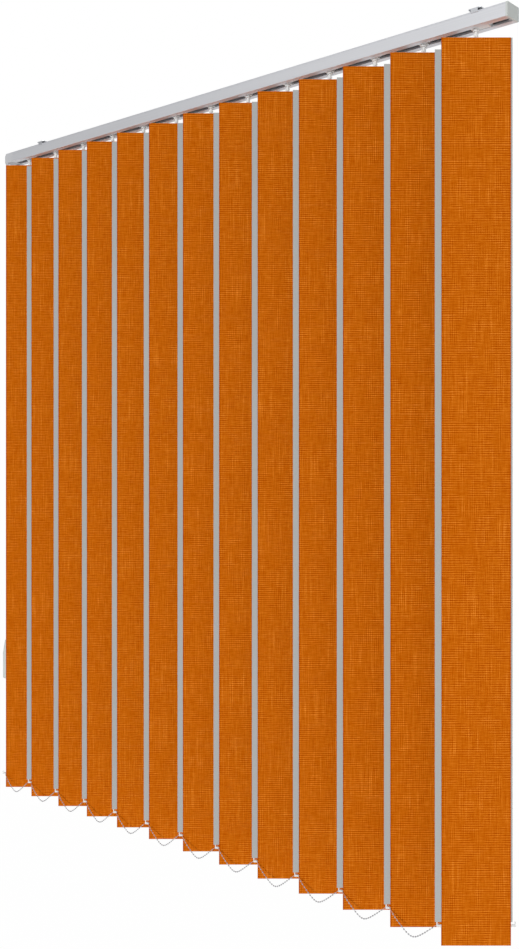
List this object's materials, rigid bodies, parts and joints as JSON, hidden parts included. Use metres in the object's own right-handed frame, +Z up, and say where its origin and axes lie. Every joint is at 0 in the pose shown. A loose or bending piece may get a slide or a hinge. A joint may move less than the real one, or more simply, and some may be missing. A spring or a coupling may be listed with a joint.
{
  "type": "vertical blind",
  "caption": "Ceiling-clipped vertical blind with tall woven cloth vanes on geared carriers, a beaded bottom chain and a weighted draw cord.",
  "frame": {"origin": "midway between the two ceiling screw holes, on the ceiling plane", "axes": "+X along the rail to the right as seen from the room, -Y to the room, +Z up"},
  "size_m": [1.513, 0.1007, 1.705],
  "materials": {
    "rail_metal": "satin",
    "grey_plastic": "matte",
    "white_plastic": "matte",
    "gear_plastic": "matte",
    "rod_metal": "satin",
    "clip_metal": "satin",
    "cord": "matte",
    "chain": "gloss",
    "vane_cloth": "matte"
  },
  "bodies": {
    "rail": {"headrail": "rail_metal", "control_head": "grey_plastic", "end_cap": "grey_plastic", "ceiling_clips": "clip_metal", "draw_cord": "cord", "cord_weight": "grey_plastic", "carrier_01": "white_plastic"},
    "tilt_rod": {"tilt_rod": "rod_metal"},
    "front_chain": {"front_chain": "chain"},
    "vane_01": {"vane_01": "vane_cloth", "vane_fittings_01": "white_plastic"},
    "worm_01": {"worm_01": "gear_plastic"},
    "carrier_02": {"carrier_02": "white_plastic"},
    "worm_02": {"worm_02": "gear_plastic"},
    "vane_02": {"vane_02": "vane_cloth", "vane_fittings_02": "white_plastic"},
    "carrier_03": {"carrier_03": "white_plastic"},
    "worm_03": {"worm_03": "gear_plastic"},
    "vane_03": {"vane_03": "vane_cloth", "vane_fittings_03": "white_plastic"},
    "carrier_04": {"carrier_04": "white_plastic"},
    "worm_04": {"worm_04": "gear_plastic"},
    "vane_04": {"vane_04": "vane_cloth", "vane_fittings_04": "white_plastic"},
    "carrier_05": {"carrier_05": "white_plastic"},
    "worm_05": {"worm_05": "gear_plastic"},
    "vane_05": {"vane_05": "vane_cloth", "vane_fittings_05": "white_plastic"},
    "carrier_06": {"carrier_06": "white_plastic"},
    "worm_06": {"worm_06": "gear_plastic"},
    "vane_06": {"vane_06": "vane_cloth", "vane_fittings_06": "white_plastic"},
    "carrier_07": {"carrier_07": "white_plastic"},
    "worm_07": {"worm_07": "gear_plastic"},
    "vane_07": {"vane_07": "vane_cloth", "vane_fittings_07": "white_plastic"},
    "carrier_08": {"carrier_08": "white_plastic"},
    "worm_08": {"worm_08": "gear_plastic"},
    "vane_08": {"vane_08": "vane_cloth", "vane_fittings_08": "white_plastic"},
    "carrier_09": {"carrier_09": "white_plastic"},
    "worm_09": {"worm_09": "gear_plastic"},
    "vane_09": {"vane_09": "vane_cloth", "vane_fittings_09": "white_plastic"},
    "carrier_10": {"carrier_10": "white_plastic"},
    "worm_10": {"worm_10": "gear_plastic"},
    "vane_10": {"vane_10": "vane_cloth", "vane_fittings_10": "white_plastic"},
    "carrier_11": {"carrier_11": "white_plastic"},
    "worm_11": {"worm_11": "gear_plastic"},
    "vane_11": {"vane_11": "vane_cloth", "vane_fittings_11": "white_plastic"},
    "carrier_12": {"carrier_12": "white_plastic"},
    "worm_12": {"worm_12": "gear_plastic"},
    "vane_12": {"vane_12": "vane_cloth", "vane_fittings_12": "white_plastic"},
    "carrier_13": {"carrier_13": "white_plastic"},
    "worm_13": {"worm_13": "gear_plastic"},
    "vane_13": {"vane_13": "vane_cloth", "vane_fittings_13": "white_plastic"}
  },
  "joints": [
    {"name": "tilt", "type": "hinge", "parent": "rail", "child": "vane_01", "pos_m": [-0.717, 0, -0.05], "axis": [0, 0, 1], "range_deg": [-31.4, 128.6]},
    {"name": "traverse", "type": "slide", "parent": "rail", "child": "carrier_13", "axis": [-1, 0, 0], "range_m": [0, 1.098], "deforming": ["front_chain"]},
    {"name": "traverse_02", "type": "slide", "parent": "rail", "child": "carrier_02", "axis": [-1, 0, 0], "range_m": [0, 0.092]},
    {"name": "tilt_02", "type": "hinge", "parent": "carrier_02", "child": "vane_02", "pos_m": [-0.6045, 0, -0.05], "axis": [0, 0, 1], "range_deg": [-31.4, 128.6]},
    {"name": "traverse_03", "type": "slide", "parent": "rail", "child": "carrier_03", "axis": [-1, 0, 0], "range_m": [0, 0.1835]},
    {"name": "tilt_03", "type": "hinge", "parent": "carrier_03", "child": "vane_03", "pos_m": [-0.492, 0, -0.05], "axis": [0, 0, 1], "range_deg": [-31.4, 128.6]},
    {"name": "traverse_04", "type": "slide", "parent": "rail", "child": "carrier_04", "axis": [-1, 0, 0], "range_m": [0, 0.275]},
    {"name": "tilt_04", "type": "hinge", "parent": "carrier_04", "child": "vane_04", "pos_m": [-0.3795, 0, -0.05], "axis": [0, 0, 1], "range_deg": [-31.4, 128.6]},
    {"name": "traverse_05", "type": "slide", "parent": "rail", "child": "carrier_05", "axis": [-1, 0, 0], "range_m": [0, 0.3665]},
    {"name": "tilt_05", "type": "hinge", "parent": "carrier_05", "child": "vane_05", "pos_m": [-0.267, 0, -0.05], "axis": [0, 0, 1], "range_deg": [-31.4, 128.6]},
    {"name": "traverse_06", "type": "slide", "parent": "rail", "child": "carrier_06", "axis": [-1, 0, 0], "range_m": [0, 0.458]},
    {"name": "tilt_06", "type": "hinge", "parent": "carrier_06", "child": "vane_06", "pos_m": [-0.1545, 0, -0.05], "axis": [0, 0, 1], "range_deg": [-31.4, 128.6]},
    {"name": "traverse_07", "type": "slide", "parent": "rail", "child": "carrier_07", "axis": [-1, 0, 0], "range_m": [0, 0.5495]},
    {"name": "tilt_07", "type": "hinge", "parent": "carrier_07", "child": "vane_07", "pos_m": [-0.042, 0, -0.05], "axis": [0, 0, 1], "range_deg": [-31.4, 128.6]},
    {"name": "traverse_08", "type": "slide", "parent": "rail", "child": "carrier_08", "axis": [-1, 0, 0], "range_m": [0, 0.641]},
    {"name": "tilt_08", "type": "hinge", "parent": "carrier_08", "child": "vane_08", "pos_m": [0.0705, 0, -0.05], "axis": [0, 0, 1], "range_deg": [-31.4, 128.6]},
    {"name": "traverse_09", "type": "slide", "parent": "rail", "child": "carrier_09", "axis": [-1, 0, 0], "range_m": [0, 0.7325]},
    {"name": "tilt_09", "type": "hinge", "parent": "carrier_09", "child": "vane_09", "pos_m": [0.183, 0, -0.05], "axis": [0, 0, 1], "range_deg": [-31.4, 128.6]},
    {"name": "traverse_10", "type": "slide", "parent": "rail", "child": "carrier_10", "axis": [-1, 0, 0], "range_m": [0, 0.824]},
    {"name": "tilt_10", "type": "hinge", "parent": "carrier_10", "child": "vane_10", "pos_m": [0.2955, 0, -0.05], "axis": [0, 0, 1], "range_deg": [-31.4, 128.6]},
    {"name": "traverse_11", "type": "slide", "parent": "rail", "child": "carrier_11", "axis": [-1, 0, 0], "range_m": [0, 0.9155]},
    {"name": "tilt_11", "type": "hinge", "parent": "carrier_11", "child": "vane_11", "pos_m": [0.408, 0, -0.05], "axis": [0, 0, 1], "range_deg": [-31.4, 128.6]},
    {"name": "traverse_12", "type": "slide", "parent": "rail", "child": "carrier_12", "axis": [-1, 0, 0], "range_m": [0, 1.007]},
    {"name": "tilt_12", "type": "hinge", "parent": "carrier_12", "child": "vane_12", "pos_m": [0.5205, 0, -0.05], "axis": [0, 0, 1], "range_deg": [-31.4, 128.6]},
    {"name": "tilt_13", "type": "hinge", "parent": "carrier_13", "child": "vane_13", "pos_m": [0.633, 0, -0.05], "axis": [0, 0, 1], "range_deg": [-31.4, 128.6]},
    {"name": "worm_turn_01", "type": "hinge", "parent": "rail", "child": "worm_01", "pos_m": [-0.717, 0.0113, -0.0168], "axis": [1, 0, 0], "range_deg": [-282.6, 1157.4]},
    {"name": "worm_turn_02", "type": "hinge", "parent": "carrier_02", "child": "worm_02", "pos_m": [-0.6045, 0.0113, -0.0168], "axis": [1, 0, 0], "range_deg": [-282.6, 1157.4]},
    {"name": "worm_turn_03", "type": "hinge", "parent": "carrier_03", "child": "worm_03", "pos_m": [-0.492, 0.0113, -0.0168], "axis": [1, 0, 0], "range_deg": [-282.6, 1157.4]},
    {"name": "worm_turn_04", "type": "hinge", "parent": "carrier_04", "child": "worm_04", "pos_m": [-0.3795, 0.0113, -0.0168], "axis": [1, 0, 0], "range_deg": [-282.6, 1157.4]},
    {"name": "worm_turn_05", "type": "hinge", "parent": "carrier_05", "child": "worm_05", "pos_m": [-0.267, 0.0113, -0.0168], "axis": [1, 0, 0], "range_deg": [-282.6, 1157.4]},
    {"name": "worm_turn_06", "type": "hinge", "parent": "carrier_06", "child": "worm_06", "pos_m": [-0.1545, 0.0113, -0.0168], "axis": [1, 0, 0], "range_deg": [-282.6, 1157.4]},
    {"name": "worm_turn_07", "type": "hinge", "parent": "carrier_07", "child": "worm_07", "pos_m": [-0.042, 0.0113, -0.0168], "axis": [1, 0, 0], "range_deg": [-282.6, 1157.4]},
    {"name": "worm_turn_08", "type": "hinge", "parent": "carrier_08", "child": "worm_08", "pos_m": [0.0705, 0.0113, -0.0168], "axis": [1, 0, 0], "range_deg": [-282.6, 1157.4]},
    {"name": "worm_turn_09", "type": "hinge", "parent": "carrier_09", "child": "worm_09", "pos_m": [0.183, 0.0113, -0.0168], "axis": [1, 0, 0], "range_deg": [-282.6, 1157.4]},
    {"name": "worm_turn_10", "type": "hinge", "parent": "carrier_10", "child": "worm_10", "pos_m": [0.2955, 0.0113, -0.0168], "axis": [1, 0, 0], "range_deg": [-282.6, 1157.4]},
    {"name": "worm_turn_11", "type": "hinge", "parent": "carrier_11", "child": "worm_11", "pos_m": [0.408, 0.0113, -0.0168], "axis": [1, 0, 0], "range_deg": [-282.6, 1157.4]},
    {"name": "worm_turn_12", "type": "hinge", "parent": "carrier_12", "child": "worm_12", "pos_m": [0.5205, 0.0113, -0.0168], "axis": [1, 0, 0], "range_deg": [-282.6, 1157.4]},
    {"name": "worm_turn_13", "type": "hinge", "parent": "carrier_13", "child": "worm_13", "pos_m": [0.633, 0.0113, -0.0168], "axis": [1, 0, 0], "range_deg": [-282.6, 1157.4]},
    {"name": "rod_turn", "type": "hinge", "parent": "rail", "child": "tilt_rod", "pos_m": [0, 0.0113, -0.0168], "axis": [1, 0, 0], "range_deg": [-282.6, 1157.4]},
    {"name": "chain_turn", "type": "hinge", "parent": "vane_01", "child": "front_chain", "pos_m": [-0.76759, -0.04393, -1.665], "axis": [0, 0, 1], "range_deg": [-128.6, 31.4]}
  ],
  "couplings": [
    {"joint": "traverse_02", "follows": "traverse", "ratio": 0.083333},
    {"joint": "tilt_02", "follows": "tilt", "ratio": 1},
    {"joint": "traverse_03", "follows": "traverse", "ratio": 0.16667},
    {"joint": "tilt_03", "follows": "tilt", "ratio": 1},
    {"joint": "traverse_04", "follows": "traverse", "ratio": 0.25},
    {"joint": "tilt_04", "follows": "tilt", "ratio": 1},
    {"joint": "traverse_05", "follows": "traverse", "ratio": 0.33333},
    {"joint": "tilt_05", "follows": "tilt", "ratio": 1},
    {"joint": "traverse_06", "follows": "traverse", "ratio": 0.41667},
    {"joint": "tilt_06", "follows": "tilt", "ratio": 1},
    {"joint": "traverse_07", "follows": "traverse", "ratio": 0.5},
    {"joint": "tilt_07", "follows": "tilt", "ratio": 1},
    {"joint": "traverse_08", "follows": "traverse", "ratio": 0.58333},
    {"joint": "tilt_08", "follows": "tilt", "ratio": 1},
    {"joint": "traverse_09", "follows": "traverse", "ratio": 0.66667},
    {"joint": "tilt_09", "follows": "tilt", "ratio": 1},
    {"joint": "traverse_10", "follows": "traverse", "ratio": 0.75},
    {"joint": "tilt_10", "follows": "tilt", "ratio": 1},
    {"joint": "traverse_11", "follows": "traverse", "ratio": 0.83333},
    {"joint": "tilt_11", "follows": "tilt", "ratio": 1},
    {"joint": "traverse_12", "follows": "traverse", "ratio": 0.91667},
    {"joint": "tilt_12", "follows": "tilt", "ratio": 1},
    {"joint": "tilt_13", "follows": "tilt", "ratio": 1},
    {"joint": "worm_turn_01", "follows": "tilt", "ratio": 9},
    {"joint": "worm_turn_02", "follows": "tilt", "ratio": 9},
    {"joint": "worm_turn_03", "follows": "tilt", "ratio": 9},
    {"joint": "worm_turn_04", "follows": "tilt", "ratio": 9},
    {"joint": "worm_turn_05", "follows": "tilt", "ratio": 9},
    {"joint": "worm_turn_06", "follows": "tilt", "ratio": 9},
    {"joint": "worm_turn_07", "follows": "tilt", "ratio": 9},
    {"joint": "worm_turn_08", "follows": "tilt", "ratio": 9},
    {"joint": "worm_turn_09", "follows": "tilt", "ratio": 9},
    {"joint": "worm_turn_10", "follows": "tilt", "ratio": 9},
    {"joint": "worm_turn_11", "follows": "tilt", "ratio": 9},
    {"joint": "worm_turn_12", "follows": "tilt", "ratio": 9},
    {"joint": "worm_turn_13", "follows": "tilt", "ratio": 9},
    {"joint": "rod_turn", "follows": "tilt", "ratio": 9},
    {"joint": "chain_turn", "follows": "tilt", "ratio": -1}
  ]
}
